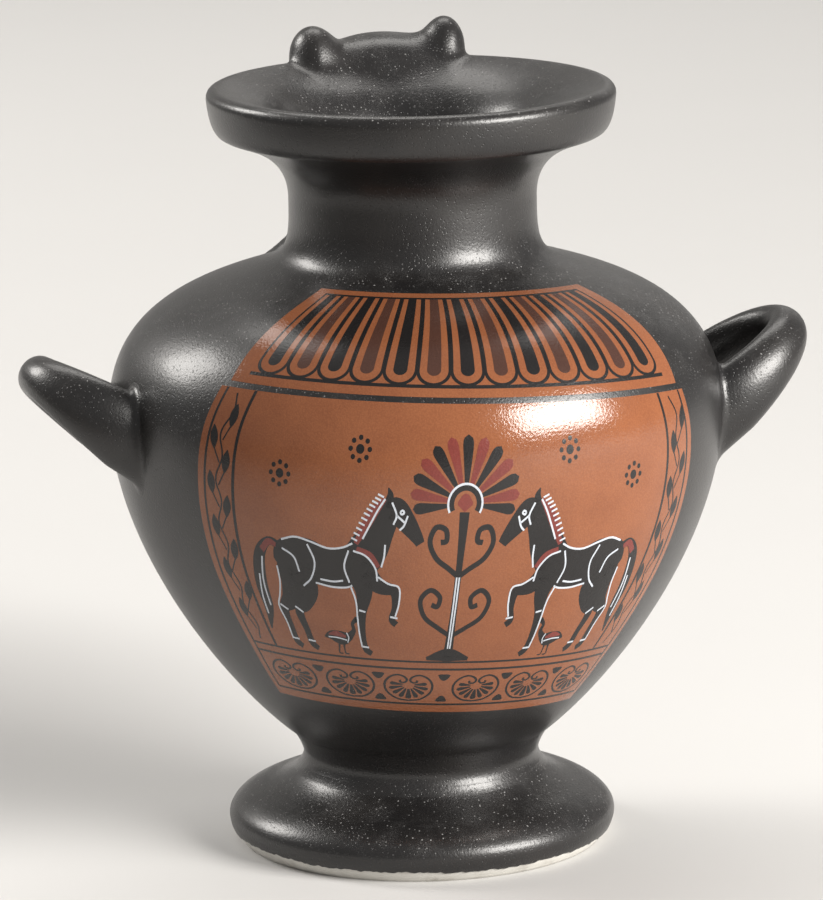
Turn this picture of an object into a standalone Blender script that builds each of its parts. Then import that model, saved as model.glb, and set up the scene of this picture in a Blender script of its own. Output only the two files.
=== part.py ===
"""Miniature three-handled water jar of black-glazed pottery, built from its separately made pieces.

The foot, body, neck and mouth are turned on the Z axis and register in each other with spigots and
sockets. Two tilted loop handles, one strap handle and a pair of small discs (rotelles) are coped to
the turned surface that carries them. Metres, +Z up, origin under the centre of the foot, front at -Y.
"""
import bpy
import bmesh
import numpy as np
from math import cos, pi, radians, sin
from mathutils import Vector

MM = 0.001

# Whole jar, from the table to the crest of the lip; the belly takes what the other heights leave
HEIGHT = 100.0 * MM

# Clay and the gap that each luted joint keeps
WALL = 2.6 * MM
JOINT_GAP = 0.3 * MM

# Foot: heights stack up from the table
FOOT_EDGE_Z = 3.5 * MM
FOOT_EDGE_RISE = 3.9 * MM
CAVETTO_RISE = 4.2 * MM
STEM_RISE = 3.2 * MM
FOOT_EDGE_R = 25.4 * MM
FOOT_TUCK = 2.7 * MM
FOOT_ROUND = 4.4 * MM
STEM_R = 15.5 * MM
STEM_FLARE = 1.3 * MM
FOOT_RING_WIDTH = 3.6 * MM
FOOT_RECESS = 4.5 * MM
SPIGOT_R = 9.0 * MM
SPIGOT_DEPTH = 2.5 * MM

# Body: from the crease above the foot to the seat of the neck
BELLY_R = 40.0 * MM
BELLY_SLOPE = 0.79
SHOULDER_R = 25.0 * MM
SHOULDER_RISE = 17.7 * MM
SHOULDER_SLOPE = 0.33
SEAT_DEPTH = 1.0 * MM

# Neck
NECK_R = 16.1 * MM
NECK_WALL = 2.7 * MM
NECK_FILLET_RISE = 8.8 * MM
NECK_STRAIGHT = 1.5 * MM
SLEEVE_DEPTH = 2.4 * MM

# Mouth
COLLAR_HEIGHT = 3.0 * MM
THROAT = 2.0 * MM
DISH_DEPTH = 9.5 * MM
DISH_SLOPE = 0.13
LIP_R = 26.5 * MM
LIP_ROUND = 1.2 * MM
LIP_LEAN = 1.5 * MM
LIP_BAND = 6.0 * MM
LIP_CORNER = 0.9 * MM
UNDER_SLOPE = 0.33

# Side handles: hand-set, so the two loops do not tilt alike
HANDLE_DROP = 0.3 * MM
LEFT_HANDLE_TILT = radians(36)
RIGHT_HANDLE_TILT = radians(41)
HANDLE_REACH = 9.6 * MM
HANDLE_SPREAD = 18.6 * MM
HANDLE_TIP_DIAMETER = 4.8 * MM
HANDLE_ROOT_WIDTH = 5.4 * MM
HANDLE_ROOT_HEIGHT = 8.1 * MM

# Back handle: a strap from the dish of the mouth to the shoulder. Its bend lies a share of the way out
# from the lip to the belly, and its root a share of the way down from the neck's seat to the belly
STRAP_TONGUE = 6.3 * MM
STRAP_CREST = 2.9 * MM
STRAP_THICKNESS = 5.0 * MM
STRAP_WAIST = 9.0 * MM
STRAP_ROOT_WIDTH = 28.0 * MM
STRAP_ROOT_THICKNESS = 3.4 * MM
STRAP_BEND_SHARE = 0.70
STRAP_ROOT_SHARE = 0.43

# Rotelles: the discs on the lip at both sides of the strap
ROTELLE_SPREAD = 18.6 * MM
ROTELLE_DIAMETER = 7.4 * MM
ROTELLE_THICKNESS = 5.0 * MM
ROTELLE_RISE = 4.6 * MM

# Facets
TURN_STEPS = 48
SECTION_SIDES = 14
LOOP_STEPS = 16
STRAP_STEPS = 6
SMOOTH_ANGLE = radians(38)
WELD = 0.001 * MM

# Pull of a cubic towards its corner that makes a quarter round
QUARTER = 0.55

# Radii and heights that follow from the sizes above
FOOT_BASE_R = FOOT_EDGE_R - FOOT_TUCK
FOOT_TOP_R = FOOT_EDGE_R - FOOT_ROUND
FOOT_TOP_Z = FOOT_EDGE_Z + FOOT_EDGE_RISE
STEM_Z = FOOT_TOP_Z + CAVETTO_RISE
FOOT_HEIGHT = STEM_Z + STEM_RISE
CREASE_R = STEM_R + STEM_FLARE
RIM_Z = HEIGHT
DISH_Z = RIM_Z - DISH_DEPTH
NECK_TOP_Z = DISH_Z - THROAT - COLLAR_HEIGHT
SHOULDER_Z = NECK_TOP_Z - NECK_STRAIGHT - NECK_FILLET_RISE
SEAT_Z = SHOULDER_Z - SEAT_DEPTH
BELLY_Z = SHOULDER_Z - SHOULDER_RISE
NECK_BORE_R = NECK_R - NECK_WALL
COLLAR_R = NECK_BORE_R + 0.5 * (NECK_WALL - JOINT_GAP)
LIP_CREST_R = LIP_R - LIP_ROUND
LIP_UNDER_R = LIP_R - LIP_LEAN
LIP_UNDER_Z = RIM_Z - LIP_BAND
HANDLE_ROOT_Z = BELLY_Z - HANDLE_DROP
STRAP_BEND_R = LIP_R + STRAP_BEND_SHARE * (BELLY_R - LIP_R)
STRAP_ROOT_R = SHOULDER_R + STRAP_ROOT_SHARE * (BELLY_R - SHOULDER_R)

GLAZE_BLACK = (0.022, 0.021, 0.021, 1.0)
GLAZE_ROUGHNESS = 0.34


def curve(start, corner, end, count, leave=QUARTER, arrive=QUARTER):
    """Return count points after start on a cubic that leaves and arrives along lines to one corner."""
    start, corner, end = (np.array(p) for p in (start, corner, end))
    first = start + leave * (corner - start)
    second = end + arrive * (corner - end)
    t = np.arange(1, count + 1)[:, None] / count
    points = (1 - t) ** 3 * start + 3 * t * (1 - t) ** 2 * first + 3 * t ** 2 * (1 - t) * second + t ** 3 * end
    return [tuple(p) for p in points]


def offset(profile, distance):
    """Move a profile that runs down its outer side outwards by a distance along its normals."""
    points = np.array(profile)
    along = np.gradient(points, axis=0)
    along /= np.linalg.norm(along, axis=1)[:, None]
    outwards = np.stack((-along[:, 1], along[:, 0]), axis=1)
    return [tuple(p) for p in points + distance * outwards]


def foot_side():
    """Outer side of the foot, from the crease under the body down to the table."""
    crease = (CREASE_R, FOOT_HEIGHT)
    stem = (STEM_R, STEM_Z)
    top = (FOOT_TOP_R, FOOT_TOP_Z)
    edge = (FOOT_EDGE_R, FOOT_EDGE_Z)
    base = (FOOT_BASE_R, 0.0)
    side = [crease]
    side += curve(crease, (STEM_R, FOOT_HEIGHT - 0.5 * STEM_RISE), stem, 2)
    side += curve(stem, (STEM_R, FOOT_TOP_Z), top, 4)
    side += curve(top, (FOOT_EDGE_R, FOOT_TOP_Z), edge, 4)
    side += curve(edge, (FOOT_EDGE_R, 0.35 * FOOT_EDGE_Z), base, 3)
    return side


def body_side():
    """Outer side of the body, from the seat of the neck over the belly to the crease."""
    seat = (SHOULDER_R, SHOULDER_Z)
    belly = (BELLY_R, BELLY_Z)
    crease = (CREASE_R, FOOT_HEIGHT)
    shoulder_corner = (BELLY_R, SHOULDER_Z - SHOULDER_SLOPE * (BELLY_R - SHOULDER_R))
    belly_corner = (BELLY_R, FOOT_HEIGHT + BELLY_SLOPE * (BELLY_R - CREASE_R))
    side = [seat]
    side += curve(seat, shoulder_corner, belly, 8, leave=0.56, arrive=0.83)
    side += curve(belly, belly_corner, crease, 10, leave=0.70, arrive=0.40)
    return side


def neck_side():
    """Outer side of the neck, straight and then flaring on to the shoulder."""
    top = (NECK_R, NECK_TOP_Z)
    spring = (NECK_R, SHOULDER_Z + NECK_FILLET_RISE)
    seat = (SHOULDER_R - JOINT_GAP, SHOULDER_Z)
    corner = (NECK_R, SHOULDER_Z + SHOULDER_SLOPE * (SHOULDER_R - NECK_R))
    return [top, spring] + curve(spring, corner, seat, 6, leave=1.2, arrive=0.8)


def mouth_side():
    """Outer side of the mouth: rounded lip, leaning band and the hollow underside down to the neck."""
    crest = (LIP_CREST_R, RIM_Z)
    widest = (LIP_R, RIM_Z - LIP_ROUND)
    under = (LIP_UNDER_R, LIP_UNDER_Z)
    bottom = (NECK_R, NECK_TOP_Z + JOINT_GAP)
    side = [crest]
    side += curve(crest, (LIP_R, RIM_Z), widest, 3)
    side += curve(widest, (LIP_R - 0.2 * LIP_LEAN, LIP_UNDER_Z + LIP_CORNER), under, 4, arrive=0.75)
    corner = (NECK_R, LIP_UNDER_Z - UNDER_SLOPE * (LIP_UNDER_R - NECK_R))
    side += curve(under, corner, bottom, 6, arrive=0.95)
    return side


def dish():
    """Inside of the mouth, from the bore of the neck up and out to the crest of the lip."""
    bore = (NECK_BORE_R, DISH_Z)
    crest = (LIP_CREST_R, RIM_Z)
    corner = (NECK_BORE_R, RIM_Z - DISH_SLOPE * (LIP_CREST_R - NECK_BORE_R))
    return [bore] + curve(bore, corner, crest, 7, leave=0.75, arrive=0.30)


def belly_radius(z):
    """Radius of the body's outer side at a height."""
    radii, heights = np.array(body_side())[::-1].T
    return float(np.interp(z, heights, radii))


def shoulder_height(r):
    """Height of the shoulder at a radius between the neck and the belly."""
    radii, heights = np.array([p for p in body_side() if p[1] >= BELLY_Z]).T
    return float(np.interp(r, radii, heights))


def glaze(name):
    """Black satin glaze, one material for each piece."""
    material = bpy.data.materials.new(name + "_glaze")
    material.use_nodes = True
    material.diffuse_color = GLAZE_BLACK
    shader = material.node_tree.nodes["Principled BSDF"]
    shader.inputs["Base Color"].default_value = GLAZE_BLACK
    shader.inputs["Roughness"].default_value = GLAZE_ROUGHNESS
    shader.inputs["Metallic"].default_value = 0.0
    return material


def settle(piece):
    """Turn a piece's modifiers into its mesh, weld it, and shade it smooth up to its sharp edges."""
    evaluated = piece.evaluated_get(bpy.context.evaluated_depsgraph_get())
    mesh = bpy.data.meshes.new_from_object(evaluated)
    piece.modifiers.clear()
    piece.data = mesh
    mesh.name = piece.name
    shell = bmesh.new()
    shell.from_mesh(mesh)
    bmesh.ops.remove_doubles(shell, verts=shell.verts, dist=WELD)
    shell.to_mesh(mesh)
    shell.free()
    mesh.shade_smooth()
    mesh.set_sharp_from_angle(angle=SMOOTH_ANGLE)
    return piece


def turn(name, profile, closed, steps, home):
    """Turn a profile, given as radius and height down its outer side, about the Z axis."""
    count = len(profile)
    edges = [(i, i + 1) for i in range(count - 1)]
    if closed:
        edges.append((count - 1, 0))
    mesh = bpy.data.meshes.new(name)
    mesh.from_pydata([(r, 0.0, z) for r, z in profile], edges, [])
    mesh.materials.append(glaze(name))
    piece = bpy.data.objects.new(name, mesh)
    home.objects.link(piece)
    screw = piece.modifiers.new("Turn", "SCREW")
    screw.steps = steps
    screw.render_steps = steps
    screw.use_merge_vertices = True
    screw.merge_threshold = WELD
    return settle(piece)


def loft(name, sections, home):
    """Skin a row of elliptic sections, each a centre and two half-axes, and cap both ends."""
    shell = bmesh.new()
    angles = [2 * pi * k / SECTION_SIDES for k in range(SECTION_SIDES)]
    rings = []
    for centre, across, through in sections:
        rings.append([shell.verts.new(centre + cos(a) * across + sin(a) * through) for a in angles])
    for ring, following in zip(rings, rings[1:]):
        for k in range(SECTION_SIDES):
            j = (k + 1) % SECTION_SIDES
            shell.faces.new((ring[k], ring[j], following[j], following[k]))
    shell.faces.new(rings[0])
    shell.faces.new(rings[-1])
    bmesh.ops.recalc_face_normals(shell, faces=shell.faces)
    mesh = bpy.data.meshes.new(name)
    shell.to_mesh(mesh)
    shell.free()
    mesh.materials.append(glaze(name))
    piece = bpy.data.objects.new(name, mesh)
    home.objects.link(piece)
    return piece


def cope(piece, cutter):
    """Cut a piece back to the face of the surface that carries it."""
    cut = piece.modifiers.new("Cope", "BOOLEAN")
    cut.operation = "DIFFERENCE"
    cut.solver = "EXACT"
    cut.object = cutter
    return settle(piece)


def make_foot(home):
    """Spreading foot with a ring to stand on, a domed recess under it and a socket for the body."""
    socket_r = SPIGOT_R + JOINT_GAP
    socket_z = FOOT_HEIGHT - SPIGOT_DEPTH - JOINT_GAP
    ring_r = FOOT_BASE_R - FOOT_RING_WIDTH
    profile = [(0.0, socket_z), (socket_r, socket_z), (socket_r, FOOT_HEIGHT)]
    profile += foot_side()
    profile.append((ring_r, 0.0))
    profile += curve((ring_r, 0.0), (0.95 * ring_r, FOOT_RECESS), (0.0, FOOT_RECESS), 5)
    return turn("foot", profile, False, TURN_STEPS, home)


def make_body(home):
    """Hollow belly and shoulder, with a spigot below and a rebated seat for the neck above."""
    opening_r = NECK_R + JOINT_GAP
    base_z = FOOT_HEIGHT + JOINT_GAP
    floor_z = base_z + WALL
    inside = [p for p in offset(body_side(), -WALL) if p[1] > floor_z + 0.3 * WALL]
    ceiling_z = inside[0][1]
    profile = [(0.0, floor_z), (inside[-1][0] - 0.6 * WALL, floor_z)]
    profile += inside[::-1]
    profile += [(opening_r, ceiling_z), (opening_r, SEAT_Z), (SHOULDER_R, SEAT_Z)]
    profile += body_side()[:-1]
    profile += [(CREASE_R, base_z), (SPIGOT_R, base_z), (SPIGOT_R, base_z - SPIGOT_DEPTH),
                (0.0, base_z - SPIGOT_DEPTH)]
    return turn("body", profile, False, TURN_STEPS, home)


def make_neck(home):
    """Neck whose flange lies in the body's rebate, with a sleeve below and a collar above."""
    flange_z = SEAT_Z + JOINT_GAP
    sleeve_z = flange_z - SLEEVE_DEPTH
    collar_z = NECK_TOP_Z + COLLAR_HEIGHT
    profile = [(COLLAR_R, collar_z), (COLLAR_R, NECK_TOP_Z)]
    profile += neck_side()
    profile += [(SHOULDER_R - JOINT_GAP, flange_z), (NECK_R, flange_z), (NECK_R, sleeve_z),
                (NECK_BORE_R, sleeve_z), (NECK_BORE_R, collar_z)]
    return turn("neck", profile, True, TURN_STEPS, home)


def make_mouth(home):
    """Wide dished mouth with a socket that drops over the neck's collar."""
    socket_r = COLLAR_R + JOINT_GAP
    socket_z = NECK_TOP_Z + COLLAR_HEIGHT + JOINT_GAP
    profile = mouth_side()
    profile += [(socket_r, NECK_TOP_Z + JOINT_GAP), (socket_r, socket_z), (NECK_BORE_R, socket_z)]
    profile += dish()[:-1]
    return turn("mouth", profile, True, TURN_STEPS, home)


def make_cutter(home):
    """Solid envelope of the turned pieces, one joint gap larger, which copes every seat."""
    side = dish() + mouth_side()[1:-1] + neck_side()[:-1] + body_side()[:-1] + foot_side()
    skin = offset(side, JOINT_GAP)
    profile = [(0.0, skin[0][1])] + skin + [(0.0, skin[-1][1])]
    cutter = turn("turned_envelope", profile, False, TURN_STEPS, home)
    cutter.hide_render = True
    cutter.display_type = "WIRE"
    return cutter


def make_side_handle(name, side, tilt, cutter, home):
    """Loop handle: a half ellipse in a plane tilted upwards, tall at its roots and round at its tip."""
    outwards = Vector((side * cos(tilt), 0.0, sin(tilt)))
    upright = Vector((-side * sin(tilt), 0.0, cos(tilt)))
    across = Vector((0.0, 1.0, 0.0))
    root = Vector((side * belly_radius(HANDLE_ROOT_Z), 0.0, HANDLE_ROOT_Z))
    half = 0.5 * HANDLE_SPREAD
    length = HANDLE_REACH / cos(tilt)
    sections = []
    for k in range(LOOP_STEPS + 1):
        angle = pi * k / LOOP_STEPS
        centre = root + half * cos(angle) * across + length * sin(angle) * outwards
        tangent = (-half * sin(angle) * across + length * cos(angle) * outwards).normalized()
        rootward = 1.0 - sin(angle)
        width = HANDLE_TIP_DIAMETER + (HANDLE_ROOT_WIDTH - HANDLE_TIP_DIAMETER) * rootward
        height = HANDLE_TIP_DIAMETER + (HANDLE_ROOT_HEIGHT - HANDLE_TIP_DIAMETER) * rootward
        sections.append((centre, 0.5 * width * tangent.cross(upright), 0.5 * height * upright))
    sink = (HANDLE_ROOT_HEIGHT + HANDLE_ROOT_WIDTH) * outwards
    for end in (0, -1):
        centre, wide, tall = sections[end]
        sections.insert(end if end == 0 else len(sections), (centre - sink, wide, tall))
    return cope(loft(name, sections, home), cutter)


def strap_route():
    """Middle line of the strap as points in the YZ plane, from inside the dish to inside the shoulder."""
    half_thick = 0.5 * STRAP_THICKNESS
    crest_z = RIM_Z + STRAP_CREST - half_thick
    start = (LIP_CREST_R - STRAP_TONGUE + half_thick, crest_z - STRAP_THICKNESS)
    crest = (LIP_R, crest_z)
    far = (STRAP_BEND_R, 0.5 * (SHOULDER_Z + crest_z))
    root = (STRAP_ROOT_R, shoulder_height(STRAP_ROOT_R))
    end = (STRAP_ROOT_R - half_thick, root[1] - STRAP_THICKNESS)
    route = [start]
    route += curve(start, (start[0], crest_z), crest, STRAP_STEPS, arrive=0.6)
    route += curve(crest, (far[0], crest_z), far, STRAP_STEPS)
    route += curve(far, (far[0], 0.5 * (far[1] + root[1])), root, STRAP_STEPS, leave=0.9)
    return route + [end]


def make_back_handle(cutter, home):
    """Strap that rises from the dish, crosses the lip, arches back and flares on to the shoulder."""
    path = np.array(strap_route())
    along = np.gradient(path, axis=0)
    along /= np.linalg.norm(along, axis=1)[:, None]
    travel = np.concatenate(([0.0], np.cumsum(np.linalg.norm(np.diff(path, axis=0), axis=1))))
    at_crest, at_far, at_root = travel[[STRAP_STEPS, 2 * STRAP_STEPS, 3 * STRAP_STEPS]]
    crest_width = ROTELLE_SPREAD - ROTELLE_THICKNESS - 2 * JOINT_GAP
    spread = np.clip((travel - at_far) / (at_root - at_far), 0.0, 1.0) ** 2
    widths = np.interp(travel, (at_crest, at_far), (crest_width, STRAP_WAIST))
    widths += spread * (STRAP_ROOT_WIDTH - STRAP_WAIST)
    thicknesses = STRAP_THICKNESS + spread * (STRAP_ROOT_THICKNESS - STRAP_THICKNESS)
    sections = []
    for (y, z), (dy, dz), width, thickness in zip(path, along, widths, thicknesses):
        sections.append((Vector((0.0, y, z)), Vector((0.5 * width, 0.0, 0.0)),
                         Vector((0.0, -dz, dy)) * (0.5 * thickness)))
    return cope(loft("back_handle", sections, home), cutter)


def make_rotelle(name, side, cutter, home):
    """Small crowned disc that stands on the lip, its axis across the strap."""
    radius = 0.5 * ROTELLE_DIAMETER
    half = 0.5 * ROTELLE_THICKNESS
    x = 0.5 * ROTELLE_SPREAD
    y = (LIP_CREST_R ** 2 - x ** 2) ** 0.5
    profile = [(0.0, half)]
    profile += curve((0.0, half), (radius, half), (radius, 0.0), 4, leave=0.75, arrive=0.7)
    profile += curve((radius, 0.0), (radius, -half), (0.0, -half), 4, leave=0.7, arrive=0.75)
    disc = turn(name, profile, False, TURN_STEPS // 2, home)
    disc.rotation_euler = (0.0, radians(90), 0.0)
    disc.location = (side * x, y, RIM_Z + ROTELLE_RISE - radius)
    bpy.context.view_layer.update()
    return cope(disc, cutter)


def main():
    for thing in list(bpy.data.objects):
        bpy.data.objects.remove(thing, do_unlink=True)
    jar = bpy.data.collections.new("three_handled_jar")
    tools = bpy.data.collections.new("cutters")
    for group in (jar, tools):
        bpy.context.scene.collection.children.link(group)
    make_foot(jar)
    make_body(jar)
    make_neck(jar)
    make_mouth(jar)
    cutter = make_cutter(tools)
    make_side_handle("left_handle", -1, LEFT_HANDLE_TILT, cutter, jar)
    make_side_handle("right_handle", 1, RIGHT_HANDLE_TILT, cutter, jar)
    make_back_handle(cutter, jar)
    make_rotelle("left_rotelle", -1, cutter, jar)
    make_rotelle("right_rotelle", 1, cutter, jar)


main()
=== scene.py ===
"""Looks of a miniature three-handled water jar: satin black glaze, printed transfers, bare clay at the foot.

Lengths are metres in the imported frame, with +Z up and the front at -Y. Profiles and drawings are given in
millimetres and turned into metres where they become points in space.
"""

import bmesh
import bpy
import numpy as np
from mathutils import Matrix, Vector


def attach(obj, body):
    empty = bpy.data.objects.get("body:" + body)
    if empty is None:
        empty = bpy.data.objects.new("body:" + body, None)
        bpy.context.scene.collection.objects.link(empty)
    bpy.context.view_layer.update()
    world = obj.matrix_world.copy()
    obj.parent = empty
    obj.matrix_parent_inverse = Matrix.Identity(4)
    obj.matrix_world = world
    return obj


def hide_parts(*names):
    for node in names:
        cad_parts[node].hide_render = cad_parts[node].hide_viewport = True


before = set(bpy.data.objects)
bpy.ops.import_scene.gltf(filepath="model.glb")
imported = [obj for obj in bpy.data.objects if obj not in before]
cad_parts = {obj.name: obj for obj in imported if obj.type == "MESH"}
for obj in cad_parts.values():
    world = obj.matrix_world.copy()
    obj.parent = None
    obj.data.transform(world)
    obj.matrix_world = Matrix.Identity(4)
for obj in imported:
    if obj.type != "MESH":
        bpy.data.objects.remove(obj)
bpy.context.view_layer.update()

MM = 0.001

# Turned pieces: points round the axis, spacing of the rings and the length over which glaze rounds a corner
TURN_STEPS = 192
RING_STEP = 0.4
INSIDE_STEP = 1.5
GLAZE_ROUNDING = 0.7
WALL = 2.6
SMOOTH_ANGLE = np.radians(40)
FINE_STEP = 0.05


# Curves and profiles

def curve(start, corner, end, count=32, leave=0.55, arrive=0.55):
    """Cubic from start to end whose two handles lie on the lines to one corner, as shares of those lines."""
    start, corner, end = (np.array(p, float) for p in (start, corner, end))
    first = start + leave * (corner - start)
    second = end + arrive * (corner - end)
    t = np.linspace(0, 1, count + 1)[:, None]
    return (1 - t) ** 3 * start + 3 * t * (1 - t) ** 2 * first + 3 * t ** 2 * (1 - t) * second + t ** 3 * end


def chain(*runs):
    """Runs of points joined end to end, with each shared point kept once."""
    runs = [np.array(run, float) for run in runs]
    return np.concatenate([runs[0]] + [run[1:] for run in runs[1:]])


def travel(points):
    """Distance along a line of points, from its first point to each point."""
    steps = np.linalg.norm(np.diff(points, axis=0), axis=1)
    return np.concatenate(([0.0], np.cumsum(steps)))


def spaced(points, step, rounding=0.0):
    """A line at even steps, whose points are first averaged over the rounding length to soften corners."""
    length = travel(points)
    fine = np.linspace(0, length[-1], max(2, int(round(length[-1] / FINE_STEP))))
    even = np.stack([np.interp(fine, length, points[:, k]) for k in range(points.shape[1])], axis=1)
    reach = int(round(0.5 * rounding / FINE_STEP))
    if reach:
        before = 2 * even[0] - even[reach:0:-1]
        after = 2 * even[-1] - even[-2:-reach - 2:-1]
        window = np.hanning(2 * reach + 3)[1:-1]
        padded = np.concatenate((before, even, after))
        even = np.stack([np.convolve(padded[:, k], window / window.sum(), "valid")
                         for k in range(points.shape[1])], axis=1)
    length = travel(even)
    marks = np.linspace(0, length[-1], max(2, int(round(length[-1] / step)) + 1))
    return np.stack([np.interp(marks, length, even[:, k]) for k in range(points.shape[1])], axis=1)


def about_axis(r, z, angle):
    """Points at a radius, a height and an angle round the Z axis: x = r cos a, y = r sin a."""
    return np.stack((r * np.cos(angle), r * np.sin(angle), z + 0 * angle), axis=-1)


def offset(points, distance):
    """A profile that runs down its outer side, moved outwards along its normals."""
    along = np.gradient(points, axis=0)
    along /= np.linalg.norm(along, axis=1)[:, None]
    return points + distance * np.stack((-along[:, 1], along[:, 0]), axis=1)


def through(points, count=48):
    """Smooth line through points: Catmull-Rom cubics, whose slope at a point is half the step across it."""
    p = np.array(points, float)
    p = np.concatenate((2 * p[:1] - p[1:2], p, 2 * p[-1:] - p[-2:-1]))
    u = np.linspace(0, len(p) - 3, count)
    k = np.minimum(u.astype(int), len(p) - 4)
    t = (u - k)[:, None]
    a, b, c, d = p[k], p[k + 1], p[k + 2], p[k + 3]
    square, cube = 2 * a - 5 * b + 4 * c - d, 3 * b - a - 3 * c + d
    return 0.5 * (2 * b + (c - a) * t + square * t ** 2 + cube * t ** 3)


# Profile of the jar in millimetres, radius and height, from the bore over the lip and down to the table
BORE_R = 13.4
BORE_Z = 90.5
MOUTH_NECK = (16.1, 85.5)
NECK_BODY = (25.0, 75.2)
BELLY = (40.0, 57.5)
BODY_FOOT = (16.95, 14.85)
FOOT_BASE = (23.7, 0.0)
NECK_INSIDE_Z = 72.4
FLOOR_Z = 17.7
BODY_UNDER_Z = 14.3
FOOT_CROWN_Z = 14.5

DISH = curve((BORE_R, BORE_Z), (BORE_R, 98.45), (25.3, 100.0), leave=0.75, arrive=0.30)
MOUTH_SIDE = chain(curve((25.3, 100.0), (26.5, 100.0), (26.5, 98.8)),
                   curve((26.5, 98.8), (26.2, 94.9), (25.0, 94.0), arrive=0.75),
                   curve((25.0, 94.0), (16.1, 91.06), MOUTH_NECK, arrive=0.95))
NECK_SIDE = chain((MOUTH_NECK, (16.1, 84.0)),
                  curve((16.1, 84.0), (16.1, 78.14), NECK_BODY, leave=1.2, arrive=0.8))
BODY_SIDE = chain(curve(NECK_BODY, (BELLY[0], 70.25), BELLY, leave=0.56, arrive=0.83),
                  curve(BELLY, (BELLY[0], 33.13), BODY_FOOT, leave=0.70, arrive=0.39))
FOOT_SIDE = chain(curve(BODY_FOOT, (15.75, 13.3), (15.47, 11.8)),
                  curve((15.47, 11.8), (15.35, 8.3), (20.6, 7.1)),
                  curve((20.6, 7.1), (25.43, 6.2), (25.43, 3.3)),
                  curve((25.43, 3.3), (25.43, 1.1), FOOT_BASE))
OUTSIDE = spaced(chain(DISH, MOUTH_SIDE, NECK_SIDE, BODY_SIDE, FOOT_SIDE), RING_STEP, GLAZE_ROUNDING)


def nearest_ring(point):
    """Index of the outside profile's point that lies nearest to a given one."""
    return int(np.argmin(np.linalg.norm(OUTSIDE - np.array(point), axis=1)))


OUTSIDE_FACING = offset(OUTSIDE, 1.0) - OUTSIDE
AT_NECK, AT_BODY, AT_FOOT = nearest_ring(MOUTH_NECK), nearest_ring(NECK_BODY), nearest_ring(BODY_FOOT)


def seat_under(points):
    """Where points in space, in millimetres, stand over the turned surface.

    Each point goes to its radius and height, and to the nearest place on the profile's straight steps.
    Returns the height over the surface, the place in space and the surface's outward direction there.
    """
    flat = points.reshape(-1, 3)
    turn = np.arctan2(flat[:, 1], flat[:, 0])
    polar = np.stack((np.hypot(flat[:, 0], flat[:, 1]), flat[:, 2]), axis=1)
    start, step = OUTSIDE[:-1], np.diff(OUTSIDE, axis=0)
    share = np.einsum("pki,ki->pk", polar[:, None] - start, step) / np.sum(step ** 2, axis=1)
    place = start + np.clip(share, 0, 1)[..., None] * step
    away = np.sum((polar[:, None] - place) ** 2, axis=2)
    best = np.argmin(away, axis=1)
    each = np.arange(len(flat))
    place = place[each, best]
    along = np.gradient(OUTSIDE, axis=0)
    along = along[best] + np.clip(share[each, best], 0, 1)[:, None] * (along[best + 1] - along[best])
    along /= np.linalg.norm(along, axis=1)[:, None]
    facing = np.stack((-along[:, 1], along[:, 0]), axis=1)
    height = np.sum((polar - place) * facing, axis=1)

    def in_space(rz):
        return about_axis(*rz.T, turn).reshape(points.shape)

    return height.reshape(points.shape[:-1]), in_space(place), in_space(facing)


# Meshes

def grid_faces(rows, cols, closed_rows=False, closed_cols=True):
    """Quads of a grid of points, which may close on itself along either parameter."""
    r = np.arange(rows if closed_rows else rows - 1)[:, None]
    c = np.arange(cols if closed_cols else cols - 1)[None, :]
    r2, c2 = (r + 1) % rows, (c + 1) % cols
    return np.stack((r * cols + c, r2 * cols + c, r2 * cols + c2, r * cols + c2), axis=-1).reshape(-1, 4)


def fan_faces(first, cols, pole):
    """Triangles from a closed ring of points to one pole."""
    c = np.arange(cols)
    return np.stack((first + c, first + (c + 1) % cols, np.full(cols, pole)), axis=-1)


def make_piece(name, points, faces, finish, nodes=(), closed=True):
    """Puts points in millimetres and lists of faces into a mesh, closes its seams and hangs it on the jar."""
    mesh = bpy.data.meshes.new(name)
    corners = [face for group in faces for face in group.tolist()]
    mesh.from_pydata((points.reshape(-1, 3) * MM).tolist(), [], corners)
    if closed:
        shell = bmesh.new()
        shell.from_mesh(mesh)
        bmesh.ops.remove_doubles(shell, verts=shell.verts, dist=1e-7)
        bmesh.ops.recalc_face_normals(shell, faces=shell.faces)
        shell.to_mesh(mesh)
        shell.free()
    mesh.shade_smooth()
    mesh.set_sharp_from_angle(angle=SMOOTH_ANGLE)
    mesh.materials.append(finish)
    piece = bpy.data.objects.new(name, mesh)
    bpy.context.scene.collection.objects.link(piece)
    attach(piece, "root")
    if nodes:
        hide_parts(*nodes)
    return piece


def set_normals(mesh, exact, rows):
    """Gives the chosen rows of a grid their profile's own normals, so that pieces shade alike at a seam."""
    normals = np.empty(3 * len(mesh.vertices), np.float32)
    mesh.vertices.foreach_get("normal", normals)
    grid = normals[:exact.size].reshape(exact.shape)
    grid[rows] = exact[rows]
    mesh.normals_split_custom_set_from_vertices(normals.reshape(-1, 3).tolist())


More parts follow.
